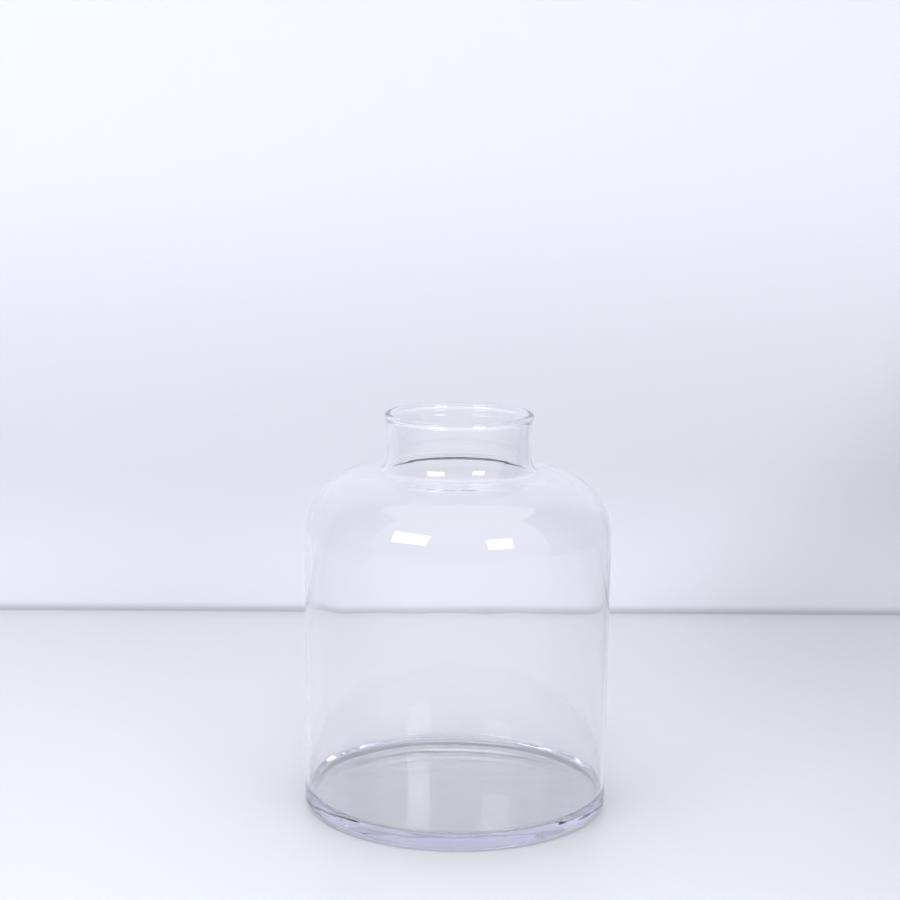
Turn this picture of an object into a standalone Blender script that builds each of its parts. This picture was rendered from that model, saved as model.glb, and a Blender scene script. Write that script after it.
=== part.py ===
"""A clear glass flower vase: a wide cylinder that closes over a round shoulder to a short neck.

The vessel is one piece of glass, turned about +Z from a single closed outline. It stands on z = 0,
with its origin at the centre of the circle it stands on. Units are metres.
"""

import math

import bmesh
import bpy

# Overall sizes
HEIGHT = 0.247
BODY_DIAMETER = 0.190
NECK_DIAMETER = 0.089

# Glass
WALL = 0.003
BASE_THICKNESS = 0.0095

# Base: the vase stands on a flat ring around a shallow punt
HEEL_RADIUS = 0.0035
BEARING_RING_WIDTH = 0.007
PUNT_DEPTH = 0.0018
FLOOR_CORNER_RADIUS = 0.004
FLOOR_CROWN = 0.0005

# Shoulder and neck
SHOULDER_RADIUS = 0.0392
SHOULDER_SLOPE = math.radians(6.0)
NECK_FILLET_RADIUS = 0.0067
NECK_LENGTH = 0.0284
FLARE_LENGTH = 0.014
FLARE = 0.0010

# Lip: a round bead, a little thicker than the wall
LIP_RADIUS = 0.0020

# Fineness of the mesh
TURN_STEPS = 64
QUARTER_STEPS = 9
SMALL_ARC_STEPS = 4
CREASE_ANGLE = math.radians(30.0)
MERGE_DISTANCE = 1e-6

GLASS_COLOUR = (0.93, 0.94, 0.97, 1.0)
GLASS_ROUGHNESS = 0.02
GLASS_IOR = 1.5

QUARTER = math.pi / 2


def clear_scene():
    for item in list(bpy.data.objects):
        bpy.data.objects.remove(item, do_unlink=True)


def arc(centre, radius, start, end, steps):
    """Points (r, z) along an arc, both ends included."""
    points = []
    for i in range(steps + 1):
        angle = start + (end - start) * i / steps
        r = centre[0] + radius * math.cos(angle)
        z = centre[1] + radius * math.sin(angle)
        points.append((r, z))
    return points


def dome(rim, rise, steps):
    """Points (r, z) of a shallow dome from the axis out to its rim, both ends included."""
    edge, level = rim
    return [(edge * i / steps, level + rise * (1 - (i / steps) ** 2)) for i in range(steps + 1)]


def flare_out(z):
    """How far the neck leans outwards at a height: nothing up to the flare's start."""
    along = (z - (HEIGHT - FLARE_LENGTH)) / FLARE_LENGTH
    return FLARE * max(0.0, along) ** 2


def shoulder_plan():
    """Centres of the neck fillet and the shoulder arc, and the slope of the line between them.

    Both arcs touch that line. Where the body leaves no room for it they touch each other, and the
    slope there is as steep as that makes it.
    """
    fillet_r = NECK_DIAMETER / 2 + NECK_FILLET_RADIUS
    shoulder_r = BODY_DIAMETER / 2 - SHOULDER_RADIUS
    reach = NECK_FILLET_RADIUS + SHOULDER_RADIUS
    slope = max(SHOULDER_SLOPE, math.asin((fillet_r - shoulder_r) / reach))
    drop = reach / math.cos(slope) - (fillet_r - shoulder_r) * math.tan(slope)
    fillet = (fillet_r, HEIGHT - NECK_LENGTH)
    return fillet, (shoulder_r, fillet[1] - drop), slope


def outer_outline():
    """The outside, from the centre of the punt up to the lip."""
    ring_outside = BODY_DIAMETER / 2 - HEEL_RADIUS
    fillet, shoulder, slope = shoulder_plan()
    points = dome((ring_outside - BEARING_RING_WIDTH, 0.0), PUNT_DEPTH, SMALL_ARC_STEPS)
    points += arc((ring_outside, HEEL_RADIUS), HEEL_RADIUS, -QUARTER, 0.0, SMALL_ARC_STEPS)
    points += arc(shoulder, SHOULDER_RADIUS, 0.0, QUARTER - slope, QUARTER_STEPS)
    points += arc(fillet, NECK_FILLET_RADIUS, -QUARTER - slope, -math.pi, SMALL_ARC_STEPS + 1)
    return points + neck_side(NECK_DIAMETER / 2)


def neck_side(radius):
    """The flared end of the neck, on the side with this radius, up to the lip's bead."""
    start = HEIGHT - FLARE_LENGTH
    end = HEIGHT - 2 * LIP_RADIUS
    heights = [start + (end - start) * i / SMALL_ARC_STEPS for i in range(SMALL_ARC_STEPS + 1)]
    return [(radius + flare_out(z), z) for z in heights]


def lip():
    """The bead, from its outer foot over the top to its inner foot."""
    middle = NECK_DIAMETER / 2 - WALL / 2 + flare_out(HEIGHT - LIP_RADIUS)
    foot = -math.asin(min(1.0, WALL / 2 / LIP_RADIUS))
    lean = QUARTER + foot
    return arc((middle, HEIGHT - LIP_RADIUS), LIP_RADIUS, -lean, math.pi + lean, 3 * SMALL_ARC_STEPS)


def inner_outline():
    """The inside, from the lip down to the centre of the floor: the outside set in by the wall."""
    inside = BODY_DIAMETER / 2 - WALL
    corner = (inside - FLOOR_CORNER_RADIUS, BASE_THICKNESS + FLOOR_CORNER_RADIUS)
    fillet, shoulder, slope = shoulder_plan()
    turned = NECK_FILLET_RADIUS + WALL
    points = neck_side(NECK_DIAMETER / 2 - WALL)[::-1]
    points += arc(fillet, turned, -math.pi, -QUARTER - slope, SMALL_ARC_STEPS + 1)
    points += arc(shoulder, SHOULDER_RADIUS - WALL, QUARTER - slope, 0.0, QUARTER_STEPS)
    points += arc(corner, FLOOR_CORNER_RADIUS, 0.0, -QUARTER, SMALL_ARC_STEPS)
    return points + dome((corner[0], BASE_THICKNESS), FLOOR_CROWN, SMALL_ARC_STEPS)[-2::-1]


def glass_material(name):
    """Clear glass, colourless in the wall and faintly cool."""
    material = bpy.data.materials.new(name)
    material.use_nodes = True
    shader = material.node_tree.nodes["Principled BSDF"]
    shader.inputs["Base Color"].default_value = GLASS_COLOUR
    shader.inputs["Roughness"].default_value = GLASS_ROUGHNESS
    shader.inputs["Metallic"].default_value = 0.0
    shader.inputs["IOR"].default_value = GLASS_IOR
    shader.inputs["Transmission Weight"].default_value = 1.0
    return material


def turned_object(name, outline, material):
    """A closed solid turned about +Z from an outline that starts and ends on the axis."""
    mesh = bpy.data.meshes.new(name)
    shape = bmesh.new()
    verts = [shape.verts.new((r, 0.0, z)) for r, z in outline]
    edges = [shape.edges.new(pair) for pair in zip(verts, verts[1:])]
    bmesh.ops.spin(
        shape,
        geom=verts + edges,
        cent=(0.0, 0.0, 0.0),
        axis=(0.0, 0.0, 1.0),
        angle=2 * math.pi,
        steps=TURN_STEPS,
        use_merge=True,
    )
    bmesh.ops.remove_doubles(shape, verts=shape.verts, dist=MERGE_DISTANCE)
    bmesh.ops.recalc_face_normals(shape, faces=shape.faces)
    shape.to_mesh(mesh)
    shape.free()
    mesh.shade_smooth()
    mesh.set_sharp_from_angle(angle=CREASE_ANGLE)
    mesh.materials.append(material)
    item = bpy.data.objects.new(name, mesh)
    bpy.context.scene.collection.objects.link(item)
    return item


def main():
    clear_scene()
    outline = outer_outline() + lip() + inner_outline()
    turned_object("glass_vase", outline, glass_material("clear_glass"))


main()
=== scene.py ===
"""The looks of the clear glass vase: blown glass with its slow waves, a pale room and soft studio light."""

import math

import bmesh
import bpy
from mathutils import Matrix, Vector, noise


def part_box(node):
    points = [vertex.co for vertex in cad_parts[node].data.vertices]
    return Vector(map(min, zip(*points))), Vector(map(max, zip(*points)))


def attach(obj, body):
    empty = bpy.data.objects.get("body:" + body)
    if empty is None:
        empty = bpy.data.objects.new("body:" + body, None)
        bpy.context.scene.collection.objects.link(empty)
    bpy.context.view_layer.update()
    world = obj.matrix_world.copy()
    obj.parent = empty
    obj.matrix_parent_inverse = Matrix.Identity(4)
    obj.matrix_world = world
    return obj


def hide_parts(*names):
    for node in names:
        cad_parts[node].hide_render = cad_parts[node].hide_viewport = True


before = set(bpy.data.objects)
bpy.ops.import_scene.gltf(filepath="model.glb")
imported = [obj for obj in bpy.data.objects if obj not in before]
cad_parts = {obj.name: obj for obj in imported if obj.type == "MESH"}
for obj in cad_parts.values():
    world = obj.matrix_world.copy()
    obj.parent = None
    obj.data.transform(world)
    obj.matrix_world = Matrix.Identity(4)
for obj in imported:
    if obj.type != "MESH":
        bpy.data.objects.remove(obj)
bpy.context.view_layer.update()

QUARTER = math.pi / 2
MM = 0.001

# The vase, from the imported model
VASE_LOW, VASE_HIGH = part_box("glass_vase")
RADIUS = (VASE_HIGH[0] - VASE_LOW[0]) / 2
BASE = VASE_LOW[2]
TOP = VASE_HIGH[2]

# Its section
WALL = 3.0 * MM
BASE_THICKNESS = 9.5 * MM
FLOOR_CROWN = 0.5 * MM
FLOOR_CORNER = 4.0 * MM
HEEL = 3.5 * MM
RING_WIDTH = 7.0 * MM
PUNT_DEPTH = 1.8 * MM
SHOULDER = 39.2 * MM
SHOULDER_SLOPE = math.radians(6.0)
NECK = 44.5 * MM
NECK_SWEEP = 15.0 * MM
SWEEP_ANGLE = math.radians(30.0)
NECK_FILLET = 4.5 * MM
NECK_LENGTH = 25.28 * MM
FLARE_LENGTH = 14.0 * MM
FLARE = 1.0 * MM
LIP = 2.0 * MM
RING_INSIDE = RADIUS - HEEL - RING_WIDTH

# Waves of the blown surface: how far they sink into the glass, and how far apart they lie
OUTER_WAVE = 0.06 * MM
INNER_WAVE = 0.26 * MM
UNDER_WAVE = 0.20 * MM
WAVE_SPACING = (36.0 * MM, 36.0 * MM, 52.0 * MM)
INNER_SHIFT = Vector((0.5, 0.0, 0.0))
UNDER_FADE = 20.0 * MM
LIP_CLEAR = 4.0 * MM
LIP_FADE = 18.0 * MM

# Streaks that run round the thick base
STREAK = 0.20 * MM
STREAK_SPACING = (17.0 * MM, 17.0 * MM, 2.4 * MM)
STREAK_TOP = 17.0 * MM

# Glass: its colour, the tint of its depth, its hardly visible dull patches and its fine skin
GLASS_COLOUR = (0.992, 0.988, 0.992, 1.0)
GLASS_IOR = 1.51
DEPTH_TINT = (0.70, 0.66, 0.80, 1.0)
DEPTH_DENSITY = 6.0
HAZE_SCALE = 26.0
HAZE_DETAIL = 3.0
HAZE_START = 0.50
HAZE_FULL = 0.72
HAZE_ROUGHNESS = 0.022
SKIN_SCALE = 95.0
SKIN_DETAIL = 1.0
SKIN_DEPTH = 0.02 * MM

# Fineness
TURN_STEPS = 256
STRAIGHT_STEP = 4.0 * MM
STREAK_STEP = 0.8 * MM
MERGE = 0.001 * MM
PUNT_STEPS = 20
FLOOR_STEPS = 20
HEEL_STEPS = 8
SHOULDER_STEPS = 28
SWEEP_STEPS = 10
FILLET_STEPS = 10
FLARE_STEPS = 6
LIP_STEPS = 24

# Camera, in metres, and its lens and sensor in millimetres
CAMERA_PLACE = Vector((0.0, -1.1223, 0.4150))
CAMERA_PITCH = math.radians(9.678)
CAMERA_YAW = math.radians(0.282)
CAMERA_ROLL = math.radians(0.629)
CAMERA_LENS = 73.77
SENSOR = 36.0

# Room
FLOOR_GAP = 0.05 * MM
FLOOR_HALF = 4.0
WALL_BEHIND = 0.4585
WALL_TURN = math.radians(1.44)
ROOM_HALF = 1.5
ROOM_FRONT = -0.6
ROOM_HEIGHT = 2.2
ROOM_CORNER = 0.3
CORNER_STEPS = 12
WALL_COLOUR = (0.87, 0.876, 0.935, 1.0)
WALL_ROUGHNESS = 0.6
FLOOR_COLOUR = (0.805, 0.817, 0.835, 1.0)
FLOOR_ROUGHNESS = 0.22

# Painted shade and light on the paper wall and the floor, as soft grades: direction, start, end and the grey
# reached at the end
TO_RIGHT = (1.0, 0.0, 0.0)
TO_BACK = (0.0, 1.0, 0.0)
UP = (0.0, 0.0, 1.0)
TO_LOW_RIGHT = (1.0, 0.0, -1.0)
WALL_PAINTED_SHADE = (
    # Painted shade from the top down to mid height, painted light near the floor, a painted shadow along the
    # wall's foot, and painted shade towards the lower right and at both far sides
    (UP, 0.42, 0.16, 0.87),
    (UP, 0.14, 0.02, 1.15),
    (UP, 9.0 * MM, 0.0, 0.62),
    (TO_LOW_RIGHT, 0.10, 0.30, 0.84),
    (TO_RIGHT, 0.40, 1.40, 0.45),
    (TO_RIGHT, -0.60, -1.40, 0.75),
)
FLOOR_PAINTED_SHADE = (
    # Painted shade, darker towards the back and towards the right
    (TO_BACK, 0.10, 0.44, 0.92),
    (TO_RIGHT, 0.07, 0.36, 0.88),
)

# Light from all round: its colour, and its strength at the horizon and overhead
AIR_COLOUR = (0.94, 0.955, 1.0, 1.0)
AIR_HORIZON = 0.77
AIR_OVERHEAD = 1.36

# Softboxes: bearing and rise in degrees from the vase's middle, distance, width, height and radiance
LIGHT_AIM = Vector((0.0, 0.0, 0.18))
SOFTBOXES = {
    "softbox_left": (-37.7, 28.4, 1.6, 0.70, 0.47, 5.8),
    "softbox_right": (32.0, 22.3, 1.6, 0.52, 0.45, 5.8),
}

# Bounces enough for light that runs along inside the thick base
BOUNCES = 48


def ease(value, start, end):
    """Rises smoothly from 0 at start to 1 at end."""
    part = min(max((value - start) / (end - start), 0.0), 1.0)
    return part * part * (3 - 2 * part)


class Pen:
    """Draws an open outline in the XZ plane with extrude and spin, one stroke after another."""

    def __init__(self, shape, r, z):
        self.shape = shape
        self.tip = shape.verts.new((r, 0.0, z))

    def line(self, r, z, step=STRAIGHT_STEP):
        """A straight stroke, cut into steps fine enough to carry the waves."""
        start = self.tip.co.copy()
        end = Vector((r, 0.0, z))
        steps = max(1, round((end - start).length / step))
        for i in range(steps):
            made = bmesh.ops.extrude_vert_indiv(self.shape, verts=[self.tip])
            self.tip = made["verts"][0]
            self.tip.co = start.lerp(end, (i + 1) / steps)

    def arc(self, centre, angle, steps):
        """A round stroke about a centre; a positive angle turns from +X towards +Z."""
        made = bmesh.ops.spin(
            self.shape,
            geom=[self.tip],
            cent=(centre[0], 0.0, centre[1]),
            axis=(0.0, -1.0, 0.0),
            angle=angle,
            steps=steps,
        )
        self.tip = next(g for g in made["geom_last"] if isinstance(g, bmesh.types.BMVert))


def on_circle(centre, radius, angle):
    """The point of a circle at an angle from +X towards +Z."""
    return centre[0] + radius * math.cos(angle), centre[1] + radius * math.sin(angle)


def shoulder_plan():
    """Centres of the gentle sweep at the neck's foot, the tighter fillet below it and the shoulder arc."""
    sweep = (NECK + NECK_SWEEP, TOP - NECK_LENGTH)
    fillet = on_circle(sweep, NECK_SWEEP - NECK_FILLET, math.pi + SWEEP_ANGLE)
    shoulder_r = RADIUS - SHOULDER
    reach = NECK_FILLET + SHOULDER
    drop = reach / math.cos(SHOULDER_SLOPE) - (fillet[0] - shoulder_r) * math.tan(SHOULDER_SLOPE)
    return sweep, fillet, (shoulder_r, fillet[1] - drop)


def draw_outside(pen, sweep, fillet, shoulder, lip_start):
    """From the punt's centre, over the bearing ring and up the outside to where the lip starts."""
    for i in range(1, PUNT_STEPS + 1):
        out = i / PUNT_STEPS
        pen.line(RING_INSIDE * out, BASE + PUNT_DEPTH * (1 - out**2))
    pen.line(RADIUS - HEEL, BASE)
    pen.arc((RADIUS - HEEL, BASE + HEEL), QUARTER, HEEL_STEPS)
    pen.line(RADIUS, BASE + STREAK_TOP, STREAK_STEP)
    pen.line(RADIUS, shoulder[1])
    pen.arc(shoulder, QUARTER - SHOULDER_SLOPE, SHOULDER_STEPS)
    pen.line(*on_circle(fillet, NECK_FILLET, -QUARTER - SHOULDER_SLOPE))
    pen.arc(fillet, SHOULDER_SLOPE + SWEEP_ANGLE - QUARTER, FILLET_STEPS)
    pen.arc(sweep, -SWEEP_ANGLE, SWEEP_STEPS)
    flare_start = TOP - FLARE_LENGTH
    pen.line(NECK, flare_start)
    for i in range(1, FLARE_STEPS + 1):
        along = i / FLARE_STEPS
        pen.line(NECK + FLARE * along**2, flare_start + (lip_start - flare_start) * along)


def draw_inside(pen, sweep, fillet, shoulder, lip_end):
    """From the lip down the inside, round the floor's corner and in to the floor's centre."""
    flare_start = TOP - FLARE_LENGTH
    for i in range(FLARE_STEPS - 1, -1, -1):
        along = i / FLARE_STEPS
        pen.line(NECK - WALL + FLARE * along**2, flare_start + (lip_end - flare_start) * along)
    pen.line(NECK - WALL, sweep[1])
    pen.arc(sweep, SWEEP_ANGLE, SWEEP_STEPS)
    pen.arc(fillet, QUARTER - SHOULDER_SLOPE - SWEEP_ANGLE, FILLET_STEPS)
    pen.line(*on_circle(shoulder, SHOULDER - WALL, QUARTER - SHOULDER_SLOPE))
    pen.arc(shoulder, SHOULDER_SLOPE - QUARTER, SHOULDER_STEPS)
    pen.line(RADIUS - WALL, BASE + STREAK_TOP)
    pen.line(RADIUS - WALL, BASE + BASE_THICKNESS + FLOOR_CORNER, STREAK_STEP)
    corner_r = RADIUS - WALL - FLOOR_CORNER
    pen.arc((corner_r, BASE + BASE_THICKNESS + FLOOR_CORNER), -QUARTER, HEEL_STEPS)
    for i in range(FLOOR_STEPS - 1, -1, -1):
        out = i / FLOOR_STEPS
        pen.line(corner_r * out, BASE + BASE_THICKNESS + FLOOR_CROWN * (1 - out**2))


def draw_section(shape):
    """The closed half section of the vase; its inside points carry a mark of 1."""
    inner = shape.verts.layers.int.new("inner")
    sweep, fillet, shoulder = shoulder_plan()
    lip_centre = (NECK - WALL / 2 + FLARE, TOP - LIP)
    lean = math.acos(WALL / 2 / LIP)
    lip_foot = lip_centre[1] - LIP * math.sin(lean)
    pen = Pen(shape, 0.0, BASE + PUNT_DEPTH)
    draw_outside(pen, sweep, fillet, shoulder, lip_foot)
    pen.arc(lip_centre, math.pi + 2 * lean, LIP_STEPS)
    outside = set(shape.verts)
    draw_inside(pen, sweep, fillet, shoulder, lip_foot)
    for vert in shape.verts:
        vert[inner] = vert not in outside
    return inner


def turned(shape):
    """Turns the section about +Z into a closed body whose faces point out."""
    bmesh.ops.spin(
        shape,
        geom=shape.verts[:] + shape.edges[:],
        cent=(0.0, 0.0, 0.0),
        axis=(0.0, 0.0, 1.0),
        angle=2 * math.pi,
        steps=TURN_STEPS,
        use_merge=True,
    )
    bmesh.ops.remove_doubles(shape, verts=shape.verts, dist=MERGE)
    bmesh.ops.recalc_face_normals(shape, faces=shape.faces)


def wave_depths(r, height, inside):
    """The greatest depth of the waves and of the streaks at a place; none on the bearing ring or the lip."""
    below_lip = ease(TOP - BASE - height, LIP_CLEAR, LIP_FADE)
    if inside:
        return INNER_WAVE * below_lip, STREAK * ease(height, STREAK_TOP, BASE_THICKNESS)
    if r < RING_INSIDE and height <= PUNT_DEPTH:
        return UNDER_WAVE * ease(RING_INSIDE - r, 0.0, UNDER_FADE), 0.0
    above_foot = ease(height, 0.0, HEEL)
    return OUTER_WAVE * below_lip * above_foot, STREAK * above_foot * ease(height, STREAK_TOP, HEEL)


def swell(spot, spacing):
    """A smooth rise and fall between 0 and 1, with its crests about the spacing apart."""
    return 0.5 + 0.5 * noise.noise(Vector([place / apart for place, apart in zip(spot, spacing)]))


def ripple(shape, inner):
    """Sinks each point into the glass, so the wall keeps its size and varies a little in thickness."""
    shape.normal_update()
    for vert in shape.verts:
        wave, streak = wave_depths(vert.co.xy.length, vert.co.z - BASE, vert[inner])
        spot = vert.co + INNER_SHIFT * vert[inner]
        depth = wave * swell(spot, WAVE_SPACING) + streak * swell(spot, STREAK_SPACING)
        vert.co = vert.co - vert.normal * depth
    shape.verts.layers.int.remove(inner)


def piece(name, shape, material):
    """An object of the scene, made from a finished shape."""
    mesh = bpy.data.meshes.new(name)
    shape.to_mesh(mesh)
    shape.free()
    mesh.shade_smooth()
    mesh.materials.append(material)
    item = bpy.data.objects.new(name, mesh)
    bpy.context.scene.collection.objects.link(item)
    return item


def noise_of(nodes, links, scale, detail):
    """A noise that stays with the object."""
    place = nodes.new("ShaderNodeTexCoord")
    grain = nodes.new("ShaderNodeTexNoise")
    grain.inputs["Scale"].default_value = scale
    grain.inputs["Detail"].default_value = detail
    links.new(place.outputs["Object"], grain.inputs["Vector"])
    return grain.outputs["Fac"]


def map_range(nodes, links, value, from_min, from_max, to_min, to_max):
    """Carries a value softly from one range to another."""
    change = nodes.new("ShaderNodeMapRange")
    change.interpolation_type = "SMOOTHSTEP"
    limits = {"From Min": from_min, "From Max": from_max, "To Min": to_min, "To Max": to_max}
    for name, number in limits.items():
        change.inputs[name].default_value = number
    links.new(value, change.inputs["Value"])
    return change.outputs["Result"]


def glass_material():
    """Clear glass, faintly violet in its depth, with a fine skin and hardly visible dull patches."""
    material = bpy.data.materials.new("clear_glass_fine")
    material.use_nodes = True
    nodes, links = material.node_tree.nodes, material.node_tree.links
    shader = nodes["Principled BSDF"]
    shader.inputs["Base Color"].default_value = GLASS_COLOUR
    shader.inputs["IOR"].default_value = GLASS_IOR
    shader.inputs["Transmission Weight"].default_value = 1.0
    haze = noise_of(nodes, links, HAZE_SCALE, HAZE_DETAIL)
    roughness = map_range(nodes, links, haze, HAZE_START, HAZE_FULL, 0.0, HAZE_ROUGHNESS)
    links.new(roughness, shader.inputs["Roughness"])
    skin = nodes.new("ShaderNodeBump")
    skin.inputs["Strength"].default_value = 1.0
    skin.inputs["Distance"].default_value = SKIN_DEPTH
    links.new(noise_of(nodes, links, SKIN_SCALE, SKIN_DETAIL), skin.inputs["Height"])
    links.new(skin.outputs["Normal"], shader.inputs["Normal"])
    absorb = nodes.new("ShaderNodeVolumeAbsorption")
    absorb.inputs["Color"].default_value = DEPTH_TINT
    absorb.inputs["Density"].default_value = DEPTH_DENSITY
    links.new(absorb.outputs["Volume"], nodes["Material Output"].inputs["Volume"])
    return material


def painted_shade_group():
    """A node group for painted shade and light that gives 1 at Start and a grey at End along a direction,
    and fades between them.
    """
    group = bpy.data.node_groups.new("painted_shade_grade", "ShaderNodeTree")
    for name in ("Place", "Direction"):
        group.interface.new_socket(name, in_out="INPUT", socket_type="NodeSocketVector")
    for name in ("Start", "End", "Grey"):
        group.interface.new_socket(name, in_out="INPUT", socket_type="NodeSocketFloat")
    group.interface.new_socket("Shade", in_out="OUTPUT", socket_type="NodeSocketFloat")
    entry = group.nodes.new("NodeGroupInput")
    leave = group.nodes.new("NodeGroupOutput")
    along = group.nodes.new("ShaderNodeVectorMath")
    along.operation = "DOT_PRODUCT"
    for name, factor in zip(("Place", "Direction"), along.inputs):
        group.links.new(entry.outputs[name], factor)
    change = group.nodes.new("ShaderNodeMapRange")
    change.interpolation_type = "SMOOTHSTEP"
    change.inputs["To Min"].default_value = 1.0
    group.links.new(along.outputs["Value"], change.inputs["Value"])
    for name, limit in (("Start", "From Min"), ("End", "From Max"), ("Grey", "To Max")):
        group.links.new(entry.outputs[name], change.inputs[limit])
    group.links.new(change.outputs["Result"], leave.inputs["Shade"])
    return group


def painted_shade_material(name, colour, roughness, group, shade_grades):
    """A plain surface whose colour is multiplied by soft grades of painted shade and light."""
    material = bpy.data.materials.new(name)
    material.use_nodes = True
    nodes, links = material.node_tree.nodes, material.node_tree.links
    shader = nodes["Principled BSDF"]
    shader.inputs["Roughness"].default_value = roughness
    place = nodes.new("ShaderNodeTexCoord")
    tint = nodes.new("ShaderNodeRGB")
    tint.outputs["Color"].default_value = colour
    shaded = tint.outputs["Color"]
    for direction, start, end, grey in shade_grades:
        grade = nodes.new("ShaderNodeGroup")
        grade.node_tree = group
        grade.inputs["Direction"].default_value = direction
        grade.inputs["Start"].default_value = start
        grade.inputs["End"].default_value = end
        grade.inputs["Grey"].default_value = grey
        links.new(place.outputs["Object"], grade.inputs["Place"])
        times = nodes.new("ShaderNodeVectorMath")
        times.operation = "SCALE"
        links.new(shaded, times.inputs["Vector"])
        links.new(grade.outputs["Shade"], times.inputs["Scale"])
        shaded = times.outputs["Vector"]
    links.new(shaded, shader.inputs["Base Color"])
    return material


def see_through_from_behind(material):
    """Lets a view from outside the room pass through the back of a surface."""
    nodes, links = material.node_tree.nodes, material.node_tree.links
    side = nodes.new("ShaderNodeNewGeometry")
    clear = nodes.new("ShaderNodeBsdfTransparent")
    choose = nodes.new("ShaderNodeMixShader")
    chance, front, back = choose.inputs
    links.new(side.outputs["Backfacing"], chance)
    links.new(nodes["Principled BSDF"].outputs["BSDF"], front)
    links.new(clear.outputs["BSDF"], back)
    links.new(choose.outputs["Shader"], nodes["Material Output"].inputs["Surface"])


def floor_sheet(group):
    """A smooth pale table top just under the vase, with painted shade towards the back and the right."""
    shape = bmesh.new()
    bmesh.ops.create_grid(shape, x_segments=1, y_segments=1, size=FLOOR_HALF)
    bmesh.ops.translate(shape, verts=shape.verts, vec=(0.0, 0.0, BASE - FLOOR_GAP))
    material = painted_shade_material("gloss_white_with_painted_shade", FLOOR_COLOUR, FLOOR_ROUGHNESS, group, FLOOR_PAINTED_SHADE)
    return piece("floor", shape, material)


def paper_wall(group):
    """Paper hung on three sides of the vase with rounded corners, seen only from its front, its colour
    graded by painted shade and light.
    """
    shape = bmesh.new()
    corners = (
        (-ROOM_HALF, ROOM_FRONT),
        (-ROOM_HALF, WALL_BEHIND),
        (ROOM_HALF, WALL_BEHIND),
        (ROOM_HALF, ROOM_FRONT),
    )
    verts = [shape.verts.new((x, y, BASE - FLOOR_GAP)) for x, y in corners]
    edges = [shape.edges.new(pair) for pair in zip(verts, verts[1:])]
    made = bmesh.ops.extrude_edge_only(shape, edges=edges)
    raised = [g for g in made["geom"] if isinstance(g, bmesh.types.BMVert)]
    bmesh.ops.translate(shape, verts=raised, vec=(0.0, 0.0, ROOM_HEIGHT))
    upright = [e for e in shape.edges if len(e.link_faces) == 2]
    bmesh.ops.bevel(
        shape,
        geom=upright,
        offset=ROOM_CORNER,
        segments=CORNER_STEPS,
        profile=0.5,
        affect="EDGES",
        material=-1,
    )
    for face in shape.faces:
        face.normal_update()
        centre = face.calc_center_median()
        if face.normal.dot(Vector((centre.x, centre.y, 0.0))) > 0:
            face.normal_flip()
    pivot = Matrix.Translation((0.0, WALL_BEHIND, 0.0))
    turn = pivot @ Matrix.Rotation(WALL_TURN, 4, "Z") @ pivot.inverted()
    bmesh.ops.transform(shape, matrix=turn, verts=shape.verts)
    material = painted_shade_material("paper_with_painted_shade", WALL_COLOUR, WALL_ROUGHNESS, group, WALL_PAINTED_SHADE)
    see_through_from_behind(material)
    return piece("backdrop", shape, material)


def softbox(name, bearing, rise, distance, width, height, radiance):
    """A rectangular light that faces the vase's middle, and whose light also passes through the glass."""
    bearing, rise = math.radians(bearing), math.radians(rise)
    level = math.cos(rise)
    way = Vector((math.sin(bearing) * level, -math.cos(bearing) * level, math.sin(rise)))
    data = bpy.data.lights.new(name, "AREA")
    data.shape = "RECTANGLE"
    data.size = width
    data.size_y = height
    data.energy = radiance * math.pi * width * height
    data.cycles.is_caustics_light = True
    item = bpy.data.objects.new(name, data)
    item.location = LIGHT_AIM + way * distance
    item.rotation_euler = way.to_track_quat("Z", "Y").to_euler()
    bpy.context.scene.collection.objects.link(item)


def air():
    """Pale light from all round, stronger overhead."""
    world = bpy.data.worlds.new("air")
    world.use_nodes = True
    nodes, links = world.node_tree.nodes, world.node_tree.links
    place = nodes.new("ShaderNodeTexCoord")
    axes = nodes.new("ShaderNodeSeparateXYZ")
    links.new(place.outputs["Generated"], axes.inputs["Vector"])
    strength = map_range(nodes, links, axes.outputs["Z"], 0.0, 1.0, AIR_HORIZON, AIR_OVERHEAD)
    nodes["Background"].inputs["Color"].default_value = AIR_COLOUR
    links.new(strength, nodes["Background"].inputs["Strength"])
    bpy.context.scene.world = world


def camera():
    """A long lens in front of the vase, looking slightly down."""
    data = bpy.data.cameras.new("camera")
    data.lens = CAMERA_LENS
    data.sensor_width = SENSOR
    item = bpy.data.objects.new("camera", data)
    turn = Matrix.Rotation(CAMERA_YAW, 4, "Z") @ Matrix.Rotation(QUARTER - CAMERA_PITCH, 4, "X")
    item.matrix_world = Matrix.Translation(CAMERA_PLACE) @ turn @ Matrix.Rotation(CAMERA_ROLL, 4, "Z")
    bpy.context.scene.collection.objects.link(item)
    bpy.context.scene.camera = item


def build():
    """The vase, then the room, the lights and the camera."""
    shape = bmesh.new()
    inner = draw_section(shape)
    turned(shape)
    ripple(shape, inner)
    vase = piece("glass_vase_fine", shape, glass_material())
    vase.cycles.is_caustics_caster = True
    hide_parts("glass_vase")
    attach(vase, "root")

    group = painted_shade_group()
    floor = floor_sheet(group)
    floor.cycles.is_caustics_receiver = True
    paper_wall(group)
    air()
    for name, settings in SOFTBOXES.items():
        softbox(name, *settings)
    camera()
    scene = bpy.context.scene
    scene.view_settings.view_transform = "Standard"
    scene.cycles.max_bounces = BOUNCES
    scene.cycles.glossy_bounces = BOUNCES
    scene.cycles.transmission_bounces = BOUNCES


build()
